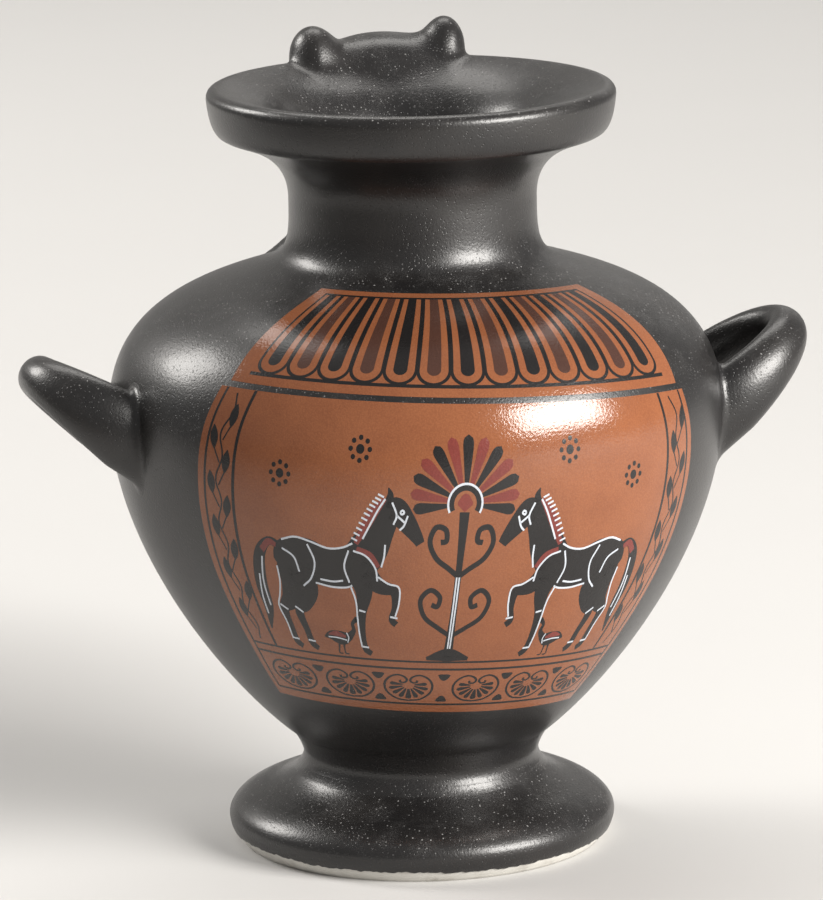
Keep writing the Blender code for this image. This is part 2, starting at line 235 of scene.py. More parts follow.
def turned(name, loop, finish, nodes=()):
    """Turns a profile about the Z axis. It closes on itself, or at poles on the axis."""
    angle = np.linspace(0, 2 * np.pi, TURN_STEPS, endpoint=False)
    poles = [k for k in (0, -1) if loop[k, 0] < 1e-6]
    rings = loop[1:-1] if poles else loop
    points = about_axis(rings[:, :1], rings[:, 1:], angle).reshape(-1, 3)
    faces = [grid_faces(len(rings), TURN_STEPS, closed_rows=not poles)]
    if poles:
        last = len(points)
        points = np.concatenate((points, [(0, 0, loop[0, 1]), (0, 0, loop[-1, 1])]))
        faces += [fan_faces(0, TURN_STEPS, last), fan_faces(last - TURN_STEPS, TURN_STEPS, last + 1)]
    piece = make_piece(name, points, faces, finish, nodes)
    apart = np.linalg.norm(rings[:, None] - OUTSIDE, axis=2)
    facing = OUTSIDE_FACING[np.argmin(apart, axis=1)]
    exact = about_axis(facing[:, :1], facing[:, 1:], angle)
    set_normals(piece.data, exact, np.min(apart, axis=1) < 1e-6)
    return piece


# Materials

class Socket:
    """An output of a node; arithmetic on it adds Math nodes to its finish."""

    def __init__(self, finish, out):
        self.finish, self.out = finish, out

    def math(self, operation, first, second=0.0):
        return self.finish.add("ShaderNodeMath", {"operation": operation}, {0: first, 1: second})

    def __add__(self, other):
        return self.math("ADD", self, other)

    __radd__ = __add__

    def __sub__(self, other):
        return self.math("SUBTRACT", self, other)

    def __rsub__(self, other):
        return self.math("SUBTRACT", other, self)

    def __mul__(self, other):
        return self.math("MULTIPLY", self, other)

    __rmul__ = __mul__

    def __pow__(self, other):
        return self.math("POWER", self, other)

    def ramp(self, low, high):
        """0 below low, 1 above high and a smooth step between them."""
        return self.finish.add("ShaderNodeMapRange", {"interpolation_type": "SMOOTHSTEP"},
                               {"Value": self, "From Min": low, "From Max": high})


class Finish:
    """One procedural material: nodes are added by add(), and surface() closes it with a Principled shader."""

    def __init__(self, name):
        self.material = bpy.data.materials.new(name)
        self.material.use_nodes = True
        self.tree = self.material.node_tree
        self.tree.nodes.clear()
        self.place = self.add("ShaderNodeTexCoord", {}, {}, "Object")

    def add(self, kind, settings, inputs, out=0):
        """Adds a node: its settings first, then the values or links of its sockets. Returns one output."""
        node = self.tree.nodes.new(kind)
        for key, value in settings.items():
            setattr(node, key, value)
        for key, value in inputs.items():
            if isinstance(value, Socket):
                self.tree.links.new(value.out, node.inputs[key])
            else:
                node.inputs[key].default_value = value
        return Socket(self, node.outputs[out]) if len(node.outputs) else None

    def noise(self, size, detail=2.0, roughness=0.5):
        """Fractal noise about 0.5 whose features have a size in millimetres."""
        return self.add("ShaderNodeTexNoise", {}, {"Vector": self.place, "Scale": 1.0 / (size * MM),
                                                   "Detail": detail, "Roughness": roughness}, "Fac")

    def cells(self, size, out="Distance"):
        """Voronoi cells of a size in millimetres: distance to a cell's middle, or the cell's own colour."""
        return self.add("ShaderNodeTexVoronoi", {}, {"Vector": self.place, "Scale": 1.0 / (size * MM)}, out)

    def mix(self, share, first, second):
        """Colour between two colours."""
        return self.add("ShaderNodeMix", {"data_type": "RGBA"}, {0: share, 6: first, 7: second}, 2)

    def bump(self, height, depth, strength=1.0):
        """Normal of a surface raised by height times a depth in millimetres."""
        links = {"Height": height, "Distance": depth * MM, "Strength": strength}
        return self.add("ShaderNodeBump", {}, links)

    def surface(self, **sockets):
        """Closes the material; sockets are named with underscores for spaces."""
        named = {key.replace("_", " "): value for key, value in sockets.items()}
        shader = self.add("ShaderNodeBsdfPrincipled", {}, named)
        self.add("ShaderNodeOutputMaterial", {}, {"Surface": shader})
        return self.material


def glaze_finish():
    """Satin black glaze: brown clouding, orange-peel skin, pinholes, and pale dust on faces that look up."""
    f = Finish("black_glaze_dusty")
    cloud = f.noise(9.0, 3.0)
    skin = f.noise(0.32, 1.5)
    grain = f.noise(0.14, 1.0)
    facing = f.add("ShaderNodeNewGeometry", {}, {}, "Normal")
    dusty = f.add("ShaderNodeSeparateXYZ", {}, {0: facing}, "Z").ramp(-0.1, 0.9)
    chance = f.add("ShaderNodeSeparateColor", {}, {0: f.cells(0.55, out="Color")}, 0)
    speck = (1 - f.cells(0.55).ramp(0.10, 0.25)) * chance.ramp(0.35, 1.0)
    pit = 1 - f.cells(0.5).ramp(0.12, 0.27)
    film = f.noise(3.0, 4.0, 0.65).ramp(0.40, 0.8) * grain.ramp(0.40, 0.75)
    pale = (speck * cloud.ramp(0.10, 0.65) * 0.8 + film * 0.17) * dusty
    black = f.mix(cloud.ramp(0.3, 0.75), (0.0084, 0.0078, 0.0080, 1), (0.0128, 0.0114, 0.0108, 1))
    colour = f.mix(pale, black, (0.368, 0.36, 0.356, 1))
    rough = 0.29 + 0.07 * cloud + 0.05 * grain + 0.25 * pale
    relief = skin * 0.7 + grain * 0.2 - pit * 0.6 + speck * dusty * 0.3
    return f.surface(Base_Color=colour, Roughness=rough, Normal=f.bump(relief, 0.045), IOR=1.54,
                     Coat_Weight=0.15, Coat_Roughness=0.18)


def print_finish(name, colour, deep, rough=0.12):
    """Fired transfer colour: screen grain and slight clouding in the ink, over a pebbled glossy skin."""
    f = Finish(name)
    dots = f.cells(0.22).ramp(0.15, 0.75)
    cloud = f.noise(5.0, 3.0)
    grain = f.noise(0.12, 1.0)
    pebble = f.noise(0.34, 1.5)
    share = 0.45 * dots + 0.35 * cloud.ramp(0.3, 0.7) + 0.2 * grain
    ink = f.mix(share, (*colour, 1), (*deep, 1))
    relief = pebble * 0.8 + grain * 0.2
    return f.surface(Base_Color=ink, Roughness=rough + 0.06 * cloud, Normal=f.bump(relief, 0.035), IOR=1.52)


def clay_finish():
    """Bare white clay: chalky, finely grained, with grey handling marks."""
    f = Finish("bare_white_clay")
    cloud = f.noise(4.0, 4.0, 0.6)
    grain = f.noise(0.2, 2.0)
    colour = f.mix(cloud.ramp(0.45, 0.8), (0.592, 0.576, 0.536, 1), (0.40, 0.376, 0.336, 1))
    return f.surface(Base_Color=colour, Roughness=0.75 + 0.1 * grain, Normal=f.bump(grain, 0.03, 0.6))


def paper_finish():
    """Pale studio paper with a barely visible tooth.

    It carries painted light: painted darkening towards the front left, a painted shadow left of and behind
    the jar, and a painted brighter tone towards the back.
    """
    f = Finish("pale_paper")
    pale = f.mix(f.noise(60.0, 3.0), (0.575, 0.568, 0.558, 1), (0.590, 0.583, 0.572, 1))
    x, y = (f.add("ShaderNodeSeparateXYZ", {}, {0: f.place}, axis) for axis in "XY")
    # Painted darkening: the paper turns to the dark tone towards the front left, where the light runs out.
    away = (x * -0.75 + y * -0.65).ramp(0.08, 0.34)
    # Painted shadow: a soft dark patch on the paper left of and behind the jar, adding to its cast shadow.
    painted_shadow = (((x + 0.08) * 10.0) ** 2 + ((y - 0.075) * 12.5) ** 2).ramp(1.0, 0.0)
    # Painted light: a brighter tone the paper takes towards the back, and the dark tone of the painted marks.
    painted_light_tone, painted_dark_tone = (0.700, 0.693, 0.681, 1), (0.195, 0.187, 0.18, 1)
    colour = f.mix(away, f.mix(painted_shadow * 0.22, f.mix(y.ramp(0.3, 1.2), pale, painted_light_tone), painted_dark_tone), painted_dark_tone)
    return f.surface(Base_Color=colour, Roughness=0.85, Normal=f.bump(f.noise(0.8), 0.02, 0.2))


GLAZE = glaze_finish()
CLAY = clay_finish()
ORANGE = print_finish("transfer_terracotta", (0.253, 0.091, 0.0385), (0.186, 0.062, 0.0265))
BLACK = print_finish("transfer_black", (0.0128, 0.0112, 0.0112), (0.008, 0.0072, 0.0072), 0.24)
BROWN = print_finish("transfer_brown", (0.0656, 0.0288, 0.020), (0.048, 0.0208, 0.0144), 0.24)
WHITE = print_finish("transfer_white", (0.528, 0.56, 0.608), (0.448, 0.48, 0.528), 0.3)
RED = print_finish("transfer_dark_red", (0.184, 0.036, 0.0272), (0.128, 0.024, 0.0192), 0.24)


# Turned walls and the foot

bore = spaced(np.array([(BORE_R, MOUTH_NECK[1]), (BORE_R, BORE_Z)]), INSIDE_STEP)
turned("mouth_wall", chain(bore, OUTSIDE[:AT_NECK + 1]), GLAZE, ("mouth",))

throat = spaced(np.array([(BORE_R, NECK_INSIDE_Z), (BORE_R, MOUTH_NECK[1])]), INSIDE_STEP)
turned("neck_wall", np.concatenate((throat, OUTSIDE[AT_NECK:AT_BODY + 1])), GLAZE, ("neck",))

body_side = OUTSIDE[AT_BODY:AT_FOOT + 1]
hollow = offset(body_side, -WALL)[::-4]
hollow = hollow[hollow[:, 1] > FLOOR_Z + 1.0]
floor = [(0.0, FLOOR_Z), (6.0, FLOOR_Z), (hollow[0, 0] - 1.5, FLOOR_Z)]
under = [(14.0, BODY_UNDER_Z), (0.0, BODY_UNDER_Z)]
body_loop = np.concatenate((floor, hollow, [(BORE_R, NECK_INSIDE_Z)], body_side, under))
turned("body_wall", body_loop, GLAZE, ("body",))

GLAZE_COAT = 0.18
GLAZE_EDGE = 1.55
EDGE_WAVES = ((2, 0.16, 0.6), (7, 0.09, 1.9), (17, 0.05, 0.4), (41, 0.05, 2.2), (67, 0.045, 0.0),
              (113, 0.04, 1.1), (171, 0.03, 2.8))
FOOT_STEPS = 960
RING_WIDTH = 4.0
RECESS_Z = 4.5
foot_side = OUTSIDE[AT_FOOT:]
core_side = offset(foot_side, -GLAZE_COAT)
ring_r = FOOT_BASE[0] - RING_WIDTH
recess = curve((ring_r, 0.0), (0.95 * ring_r, RECESS_Z), (0.0, RECESS_Z), 16)
core_loop = np.concatenate(([(0.0, FOOT_CROWN_Z), (12.0, FOOT_CROWN_Z)], core_side[1:-1],
                            [(core_side[-1, 0], 0.0)], recess))
turned("foot_clay", core_loop, CLAY, ("foot",))


def glaze_on_foot():
    """Glaze coat of the foot on a grid of turn and drop.

    The drop runs from the crease down the profile to a ragged edge, whose height over the table is a sum of
    sines of the turn. The coat folds round that edge and goes back up inside the clay.
    """
    turn = np.linspace(0, 2 * np.pi, FOOT_STEPS, endpoint=False)
    edge = GLAZE_EDGE + sum(height * np.sin(waves * turn + start) for waves, height, start in EDGE_WAVES)
    length = travel(foot_side)
    low = slice(len(foot_side) // 2, None)
    stop = np.interp(edge, foot_side[low, 1][::-1], length[low][::-1])
    share = np.concatenate((np.linspace(0, 0.9, 44), np.linspace(0.9, 1.0, 10)[1:]))
    down = share[:, None] * stop
    rim = np.linspace(0, np.pi, 6)[1:, None]
    back = np.linspace(1, 0, 6)[1:, None]
    drop = np.concatenate((down, stop + 0.5 * GLAZE_COAT * np.sin(rim), back * stop))
    depth = np.concatenate((np.zeros_like(down), GLAZE_COAT * (1 - np.cos(rim)) + 0 * stop,
                            2 * GLAZE_COAT + 0 * back * stop))
    out_r, out_z = (np.interp(drop, length, column) for column in OUTSIDE_FACING[AT_FOOT:].T)
    r = np.interp(drop, length, foot_side[:, 0]) - depth * out_r
    z = np.interp(drop, length, foot_side[:, 1]) - depth * out_z
    faces = [grid_faces(len(drop), len(turn), closed_rows=True)]
    piece = make_piece("foot_glaze", about_axis(r, z, turn), faces, GLAZE)
    set_normals(piece.data, about_axis(out_r, out_z, turn), np.arange(len(drop)) < len(down) - 1)
    return piece


glaze_on_foot()


# Handles

# Past its fillet a root's skin goes on under the glaze, and the root is closed inside the wall
SKIRT_REACH = 0.4
SKIRT_SINK = 0.22
ROOT_DEPTH = 1.2


def landed(lines, fillet, rows):
    """A swept shape whose lengthwise lines run into the turned surface at both ends with a rounded fillet.

    lines is a grid of points, along by around. Each line is followed to the point q where it meets the
    surface. Its last stretch, as long as the fillet, is bent into a quadratic with q as its corner, which
    ends on the surface the same length away from the middle of the root.
    """
    count, around = lines.shape[:2]
    height = seat_under(lines)[0]
    index = np.arange(count)[:, None]
    column = np.arange(around)[None, :]
    half = count // 2

    def at(place):
        place = np.clip(place, 0, count - 1.001)
        k = place.astype(int)
        w = (place - k)[..., None]
        return lines[k, column] * (1 - w) + lines[k + 1, column] * w

    def meet(step):
        if step > 0:
            inside = np.max(np.where((height < 0) & (index < half), index, 0), axis=0)
        else:
            inside = np.min(np.where((height < 0) & (index >= half), index, count - 1), axis=0)
        low, high = height[inside, column[0]], height[inside + step, column[0]]
        share = np.clip(low / np.where(np.abs(low - high) < 1e-9, 1e-9, low - high), 0, 1)
        return inside + share * step

    def root(step):
        place = meet(step)
        pace = np.linalg.norm(at((place + step)[None]) - at(place[None]), axis=2)[0]
        leave = place + step * fillet / np.maximum(pace, 1e-6)
        corner, begin = at(place[None])[0], at(leave[None])[0]
        facing = seat_under(corner)[2]
        spread = begin - begin.mean(axis=0)
        spread -= np.sum(spread * facing, axis=1)[:, None] * facing
        spread /= np.linalg.norm(spread, axis=1)[:, None]
        finish = seat_under(corner + fillet * spread)[1]
        t = np.linspace(0, 1, 11)[1:, None, None]
        skirt = (1 - t) ** 2 * begin + 2 * t * (1 - t) * corner + t ** 2 * finish
        sunk = finish + SKIRT_REACH * fillet * spread - SKIRT_SINK * seat_under(finish)[2]
        pole = corner.mean(axis=0) - ROOT_DEPTH * facing.mean(axis=0)
        return leave, np.concatenate((skirt, sunk[None])), pole

    (first, first_skirt, first_pole), (last, last_skirt, last_pole) = root(1), root(-1)
    share = np.linspace(0, 1, rows)[:, None]
    grid = np.concatenate((first_skirt[::-1], at(first + share * (last - first)), last_skirt))
    points = np.concatenate((grid.reshape(-1, 3), first_pole[None], last_pole[None]))
    poles = len(grid) * around
    faces = [grid_faces(len(grid), around), fan_faces(0, around, poles),
             fan_faces(poles - around, around, poles + 1)]
    return points, faces


HANDLE_ROOT = (40.0, 57.2)
HANDLE_SPREAD = 18.6
HANDLE_TIP = (4.8, 5.4)
HANDLE_LEG_WIDE = 5.4
LOOP_SWEEP = (-38, 218)
LOOP_STEPS = 220
LOOP_ROWS = 96
AROUND = 56


def loop_handle(name, node, side, tilt, roll, rise, reach, leg, slim, fillet):
    """Loop handle: a half ellipse in a plane that tilts up from the belly, carried by an ellipse across it.

    Middle = root + cos(a) half spread across + sin(a) reach along the tilted plane, which also rolls so that
    the front leg stands higher. The ellipse grows from the tip to the roots, leg high, with
    (1 - sin(a))^0.75, and the far leg is slimmer by a share.
    """
    a = np.radians(np.linspace(*LOOP_SWEEP, LOOP_STEPS))[:, None, None]
    b = np.linspace(0, 2 * np.pi, AROUND, endpoint=False)[None, :, None]
    tilt, roll = np.radians(tilt), np.radians(roll)
    outwards = np.array((side * np.cos(tilt), 0, np.sin(tilt)))
    level = np.array((-side * np.sin(tilt), 0, np.cos(tilt)))
    across = np.array((0.0, np.cos(roll), 0.0)) - np.sin(roll) * level
    upright = np.array((0.0, np.sin(roll), 0.0)) + np.cos(roll) * level
    root = np.array((side * HANDLE_ROOT[0], 0, HANDLE_ROOT[1] + rise))
    half, length = 0.5 * HANDLE_SPREAD, reach / np.cos(tilt)
    out = np.where(np.sin(a) > 0, np.sin(a), 1.6 * np.sin(a))
    swing = np.sign(np.cos(a)) * np.where(np.sin(a) > 0, np.abs(np.cos(a)), 1.0)
    middle = root + half * swing * across + length * out * outwards
    tangent = -half * np.where(np.sin(a) > 0, np.sin(a), 0) * across + length * np.cos(a) * outwards
    tangent /= np.linalg.norm(tangent, axis=2)[..., None]
    wide = np.cross(tangent, upright)
    rootward = (1 - np.clip(np.sin(a), 0, 1)) ** 0.75
    width = HANDLE_TIP[0] + (HANDLE_LEG_WIDE - HANDLE_TIP[0]) * rootward
    height = (HANDLE_TIP[1] + (leg - HANDLE_TIP[1]) * rootward) * (1 - slim * np.clip(np.cos(a), 0, 1))
    lines = middle + 0.5 * width * np.cos(b) * wide + 0.5 * height * np.sin(b) * upright
    points, faces = landed(lines, fillet, LOOP_ROWS)
    return make_piece(name, points, faces, GLAZE, (node,))


loop_handle("left_loop", "left_handle", -1, 36, 6.5, 0.2, reach=9.3, leg=10.0, slim=0.16, fillet=1.3)
loop_handle("right_loop", "right_handle", 1, 39, 0.5, 0.7, reach=9.6, leg=9.3, slim=0.0, fillet=1.5)

STRAP_CREST = (26.5, 100.4)
STRAP_FAR = (35.95, 87.8)
STRAP_ROOT_R = 31.45
STRAP_START = (21.9, 95.4)
STRAP_THICK = 5.0
STRAP_ROOT_THICK = 3.4
STRAP_WIDTHS = (14.0, 9.0, 28.6)
STRAP_ASIDE = 1.0
DISC_MIDDLES = ((-8.6, 24.3, 100.3), (9.3, 25.3, 100.7))
DISC_AXES = ((3.15, 3.9, 4.1), (2.7, 3.6, 4.2))
DISC_BLEND = 4.6
WALL_BLEND = (3.0, 3.4, 5.2, 1.8)
WALL_BLEND_X = (0.0, 4.5, 8.5, 12.5)
ROOT_BLEND = 6.5
ROOT_TOP = 88.0
WALL_SINK = 0.008
SKIN_MARGIN = 0.3
YOKE_BOX = ((-22.8, 22.8), (11.5, 45.0), (56.0, 110.5))
YOKE_STEP = 0.3
WALL_TABLE = ((11.0, 48.0), (55.0, 112.0), 0.3)


def strap_path():
    """Middle line of the strap in the YZ plane, three cubics and a short run into the shoulder.

    Returns its points, and the half width, half thickness, sideways shift and growth at each. Width falls
    from the lip to the bend and then grows with the square of the way to the root, while the strap thins.
    """
    shoulder = BODY_SIDE[BODY_SIDE[:, 1] >= BELLY[1]]
    root = (STRAP_ROOT_R, float(np.interp(STRAP_ROOT_R, shoulder[:, 0], shoulder[:, 1])))
    runs = (curve(STRAP_START, (STRAP_START[0], STRAP_CREST[1]), STRAP_CREST, 60, leave=0.75, arrive=0.7),
            curve(STRAP_CREST, (STRAP_FAR[0], STRAP_CREST[1]), STRAP_FAR, 60),
            curve(STRAP_FAR, (STRAP_FAR[0], 0.5 * (STRAP_FAR[1] + root[1])), root, 60, leave=0.9),
            np.linspace(root, (root[0] - 1.0, root[1] - 2.0), 12))
    path = spaced(chain(*runs), 0.2, 1.0)
    way = travel(path)
    marks = [way[np.argmin(np.linalg.norm(path - np.array(p), axis=1))]
             for p in (STRAP_CREST, STRAP_FAR, root)]
    grow = np.clip((way - marks[1]) / (marks[2] - marks[1]), 0, 1) ** 2
    width = np.interp(way, marks[:2], STRAP_WIDTHS[:2]) + grow * (STRAP_WIDTHS[2] - STRAP_WIDTHS[1])
    thick = STRAP_THICK + grow * (STRAP_ROOT_THICK - STRAP_THICK)
    return path, 0.5 * width, 0.5 * thick, np.interp(way, marks[:2], (STRAP_ASIDE, 0.0)), grow


def over_ellipsoid(offsets, axes):
    """Height over an ellipsoid, k (k - 1) / m: k is the length of offset / axis, m of offset / axis^2."""
    k = np.sqrt(sum((o / a) ** 2 for o, a in zip(offsets, axes)))
    m = np.sqrt(sum((o / a ** 2) ** 2 for o, a in zip(offsets, axes)))
    return k * (k - 1) / np.maximum(m, 1e-9)


def blended(first, second, reach):
    """The smaller of two heights, lowered by a cubic where they differ by less than reach: a round joint."""
    near = np.clip(1 - np.abs(first - second) / reach, 0, None)
    return np.minimum(first, second) - reach * near ** 3 / 6


def wall_heights():
    """Function that gives the height over the turned surface, read between the entries of a table."""
    (r0, r1), (z0, z1), step = WALL_TABLE
    r, z = np.meshgrid(np.arange(r0, r1, step), np.arange(z0, z1, step), indexing="ij")
    table = seat_under(np.stack((r, 0 * r, z), axis=-1))[0]

    def height(x, y, z):
        u = np.clip((np.hypot(x, y) - r0) / step, 0, table.shape[0] - 1.001)
        v = np.clip((z - z0) / step, 0, table.shape[1] - 1.001)
        i, j = u.astype(int), v.astype(int)
        u, v = u - i, v - j
        return ((1 - u) * (1 - v) * table[i, j] + u * (1 - v) * table[i + 1, j]
                + (1 - u) * v * table[i, j + 1] + u * v * table[i + 1, j + 1])

    return height


def surface_net(field, box, step):
    """Surface where a field of space is zero, for a form no two-parameter grid can give.

    The field is read on a box of cells. A cell it changes sign in gets one point, the mean of the crossings
    on its edges, and every crossed edge joins the points of its four cells. The points then slide down the
    field's slope onto the surface.
    """
    axes = [np.arange(low, high, step) for low, high in box]
    value = field(axes[0][:, None, None], axes[1][None, :, None], axes[2][None, None, :])
    cells = tuple(n - 1 for n in value.shape)
    corner = np.array([axis[0] for axis in axes])
    owners, crossings, quads = [], [], []
    for axis in range(3):
        low = np.moveaxis(np.moveaxis(value, axis, 0)[:-1], 0, axis)
        high = np.moveaxis(np.moveaxis(value, axis, 0)[1:], 0, axis)
        edge = np.argwhere((low < 0) != (high < 0))
        first, second = low[tuple(edge.T)], high[tuple(edge.T)]
        crossing = edge.astype(float)
        crossing[:, axis] += first / (first - second)
        quad = []
        for back in ((0, 0), (1, 0), (1, 1), (0, 1)):
            cell = edge.copy()
            cell[:, (axis + 1) % 3] -= back[0]
            cell[:, (axis + 2) % 3] -= back[1]
            quad.append(np.ravel_multi_index(tuple(cell.T), cells))
            owners.append(quad[-1])
            crossings.append(crossing)
        quad = np.stack(quad, axis=1)
        quads.append(np.where((first < 0)[:, None], quad, quad[:, ::-1]))
    names, owner = np.unique(np.concatenate(owners), return_inverse=True)
    crossings = np.concatenate(crossings)
    count = np.bincount(owner)
    means = [np.bincount(owner, crossings[:, k]) / count for k in range(3)]
    points = corner + step * np.stack(means, axis=1)
    probe = 0.3 * step
    for _ in range(3):
        here = field(*points.T)
        slope = np.stack([(field(*(points + shift).T) - field(*(points - shift).T)) / (2 * probe)
                          for shift in probe * np.eye(3)], axis=1)
        slide = -here / np.maximum(np.sum(slope ** 2, axis=1), 0.05)
        points = points + np.clip(slide, -0.3 * step, 0.3 * step)[:, None] * slope
    return points, np.searchsorted(names, np.concatenate(quads))


def yoke_strap():
    """Back strap with the two discs on the lip, one form blended into the lip and the shoulder.

    The strap's section goes from an ellipse at the lip to a flat bar with round edges at the root.
    """
    path, half_width, half_thick, aside, grow = strap_path()
    wall = wall_heights()

    def field(x, y, z):
        y, z = np.broadcast_arrays(y, z)
        away = np.hypot(y[..., None] - path[:, 0], z[..., None] - path[:, 1])
        near = np.argmin(away, axis=-1)
        away = np.take_along_axis(away, near[..., None], axis=-1)[..., 0]
        beside = x - aside[near]
        form = over_ellipsoid((beside, away), (half_width[near], half_thick[near]))
        beyond = np.clip(np.abs(beside) - half_width[near], 0, None)
        form = np.where(form < 0, form, np.hypot(form, beyond))
        flat = np.clip(np.abs(beside) - (half_width - half_thick)[near], 0, None)
        form = form + grow[near] * (np.hypot(flat, away) - half_thick[near] - form)
        for middle, disc_axes in zip(DISC_MIDDLES, DISC_AXES):
            disc = over_ellipsoid([p - m for p, m in zip((x, y, z), middle)], disc_axes)
            form = blended(form, disc, DISC_BLEND)
        reach = np.where(z > ROOT_TOP, np.interp(np.abs(x), WALL_BLEND_X, WALL_BLEND), ROOT_BLEND)
        return np.maximum(blended(form, wall(x, y, z) + WALL_SINK, reach), form - reach - SKIN_MARGIN)

    points, faces = surface_net(field, YOKE_BOX, YOKE_STEP)
    return make_piece("yoke_strap", points, [faces], GLAZE,
                      ("back_handle", "left_rotelle", "right_rotelle"))


yoke_strap()


# Transfers

# The printed sheets lie a little askew: they turn about a point below the shoulder
PRINT_CENTRE = -0.6
PRINT_LEAN = 0.098
PRINT_DROP = 0.036
PRINT_PIVOT = 8.5
SIDE = OUTSIDE[AT_NECK:AT_FOOT + 1]
SIDE_RISE = np.interp(BELLY[1], SIDE[::-1, 1], travel(SIDE)[::-1]) - travel(SIDE)
SIDE_FACING = offset(SIDE, 1.0) - SIDE

# Films lie in layers over the glaze: grounds, lines, fillings and top colours
GROUND_LIFT, LINE_LIFT, FILL_LIFT, TOP_LIFT = 0.020, 0.027, 0.034, 0.041
GROUND_COAT, INK_COAT = 0.05, 0.02


def on_jar(sheet, lift):
    """Places sheet points on the jar, given by a turn in degrees and a rise in millimetres over the belly.

    The sheet's own lean and drop are added first. lift is the height over the glaze.
    """
    turn, rise = sheet[..., 0], sheet[..., 1]
    angle = np.radians(turn + PRINT_CENTRE + PRINT_LEAN * (rise - PRINT_PIVOT))
    rise = rise - PRINT_DROP * turn
    order = slice(None, None, -1)
    r, z, nr, nz = (np.interp(rise, SIDE_RISE[order], column[order])
                    for column in (SIDE[:, 0], SIDE[:, 1], SIDE_FACING[:, 0], SIDE_FACING[:, 1]))
    r, z = r + lift * nr, z + lift * nz
    return np.stack((r * np.sin(angle), -r * np.cos(angle), z), axis=-1)


def ribbon(path, width, across=2):
    """Strip of a drawn line: the path moved to both sides along its normals by half the width."""
    along = np.gradient(path, axis=0)
    along /= np.maximum(np.linalg.norm(along, axis=1)[:, None], 1e-9)
    aside = np.stack((-along[:, 1], along[:, 0]), axis=1) * 0.5 * np.broadcast_to(width, len(path))[:, None]
    return between(path - aside, path + aside, across)


def between(first, second, across=6):
    """Patch ruled between two edges with the same number of points."""
    t = np.linspace(0, 1, across)[None, :, None]
    return first[:, None] * (1 - t) + second[:, None] * t


def spindle(half, y, across=6):
    """Patch about the Y axis, as far to both sides as a half width at each y."""
    return between(np.stack((-half, y), axis=1), np.stack((half, y), axis=1), across)


def scaled(patch, centre, per_mm):
    """A patch drawn in millimetres about a centre, with x turned into degrees at the radius it sits at."""
    return np.array(centre) + patch * np.array((per_mm, 1.0))


def sharp_rims(mesh):
    """Marks the edges that bound only one face as sharp, so that a film's flat side is not shaded round."""
    sides = np.empty(len(mesh.loops), np.int32)
    mesh.loops.foreach_get("edge_index", sides)
    rim = np.bincount(sides, minlength=len(mesh.edges)) == 1
    mark = mesh.attributes.get("sharp_edge") or mesh.attributes.new("sharp_edge", "BOOLEAN", "EDGE")
    mark.data.foreach_set("value", rim)


def transfer(name, patches, lift, coat, finish):
    """One printed colour: all its patches laid on the jar as a film of a given thickness."""
    points, faces, count = [], [], 0
    for patch in patches:
        rows, cols = patch.shape[:2]
        loop = np.concatenate((patch[:, 0], patch[-1, 1:], patch[-2::-1, -1], patch[0, -2:0:-1]))
        x, y = loop.T
        if np.sum(x * np.roll(y, -1) - y * np.roll(x, -1)) < 0:
            patch = patch[:, ::-1]
        points.append(on_jar(patch, lift).reshape(-1, 3))
        faces.append(grid_faces(rows, cols, closed_cols=False) + count)
        count += rows * cols
    film = make_piece(name, np.concatenate(points), faces, finish, closed=False)
    sharp_rims(film.data)
    wall = film.modifiers.new("Film", "SOLIDIFY")
    wall.thickness = coat * MM
    wall.offset = -1.0
    return film


def shoulder_arch(turn, rise):
    """Sag of the shoulder sheet's rows towards its ends, a square of the turn."""
    return rise - (0.55 + 0.025 * (rise - 9.35)) * (turn / 48.5) ** 2


SHOULDER_TURN = 48.4
SHOULDER_LEAN = 0.075
SHOULDER_RISES = (9.35, 29.35)
TONGUES = 13
TONGUE_STEP = 6.82
TONGUE_TOP = 27.75
TONGUE_FOOT = 10.85
DEGREE_MM = 0.63


def shoulder_sheet(turn, rise):
    """Sheet points of the shoulder transfer from a turn and an unsagged rise."""
    turn, rise = np.broadcast_arrays(turn, rise)
    return np.stack((turn + SHOULDER_LEAN * (rise - SHOULDER_RISES[0]), shoulder_arch(turn, rise)), axis=-1)


def tongue(centre, shares, foot):
    """Tongue that hangs down: sides some shares of the step apart at the top and at the half-round end."""
    half = 0.5 * shares[1] * TONGUE_STEP
    round_mm = min(half * DEGREE_MM, 2.0)
    rise = np.concatenate((np.linspace(TONGUE_TOP, foot + round_mm, 26),
                           foot + round_mm * (1 - np.sin(np.linspace(0, 0.5 * np.pi, 12)[1:]))))
    drop = np.clip((foot + round_mm - rise) / round_mm, 0, 1)
    wide = np.interp(rise, (foot, TONGUE_TOP), (half, 0.5 * shares[0] * TONGUE_STEP)) * np.sqrt(1 - drop ** 2)
    edge = np.linspace(-1, 1, 5)
    return shoulder_sheet(centre + wide[:, None] * edge, rise[:, None] + 0 * edge)


def shoulder_line(rise, width, turn):
    """Level line across the shoulder sheet."""
    t = np.linspace(-turn, turn, 120)[:, None]
    return shoulder_sheet(t, rise + width * np.array((-0.5, 0.5)))


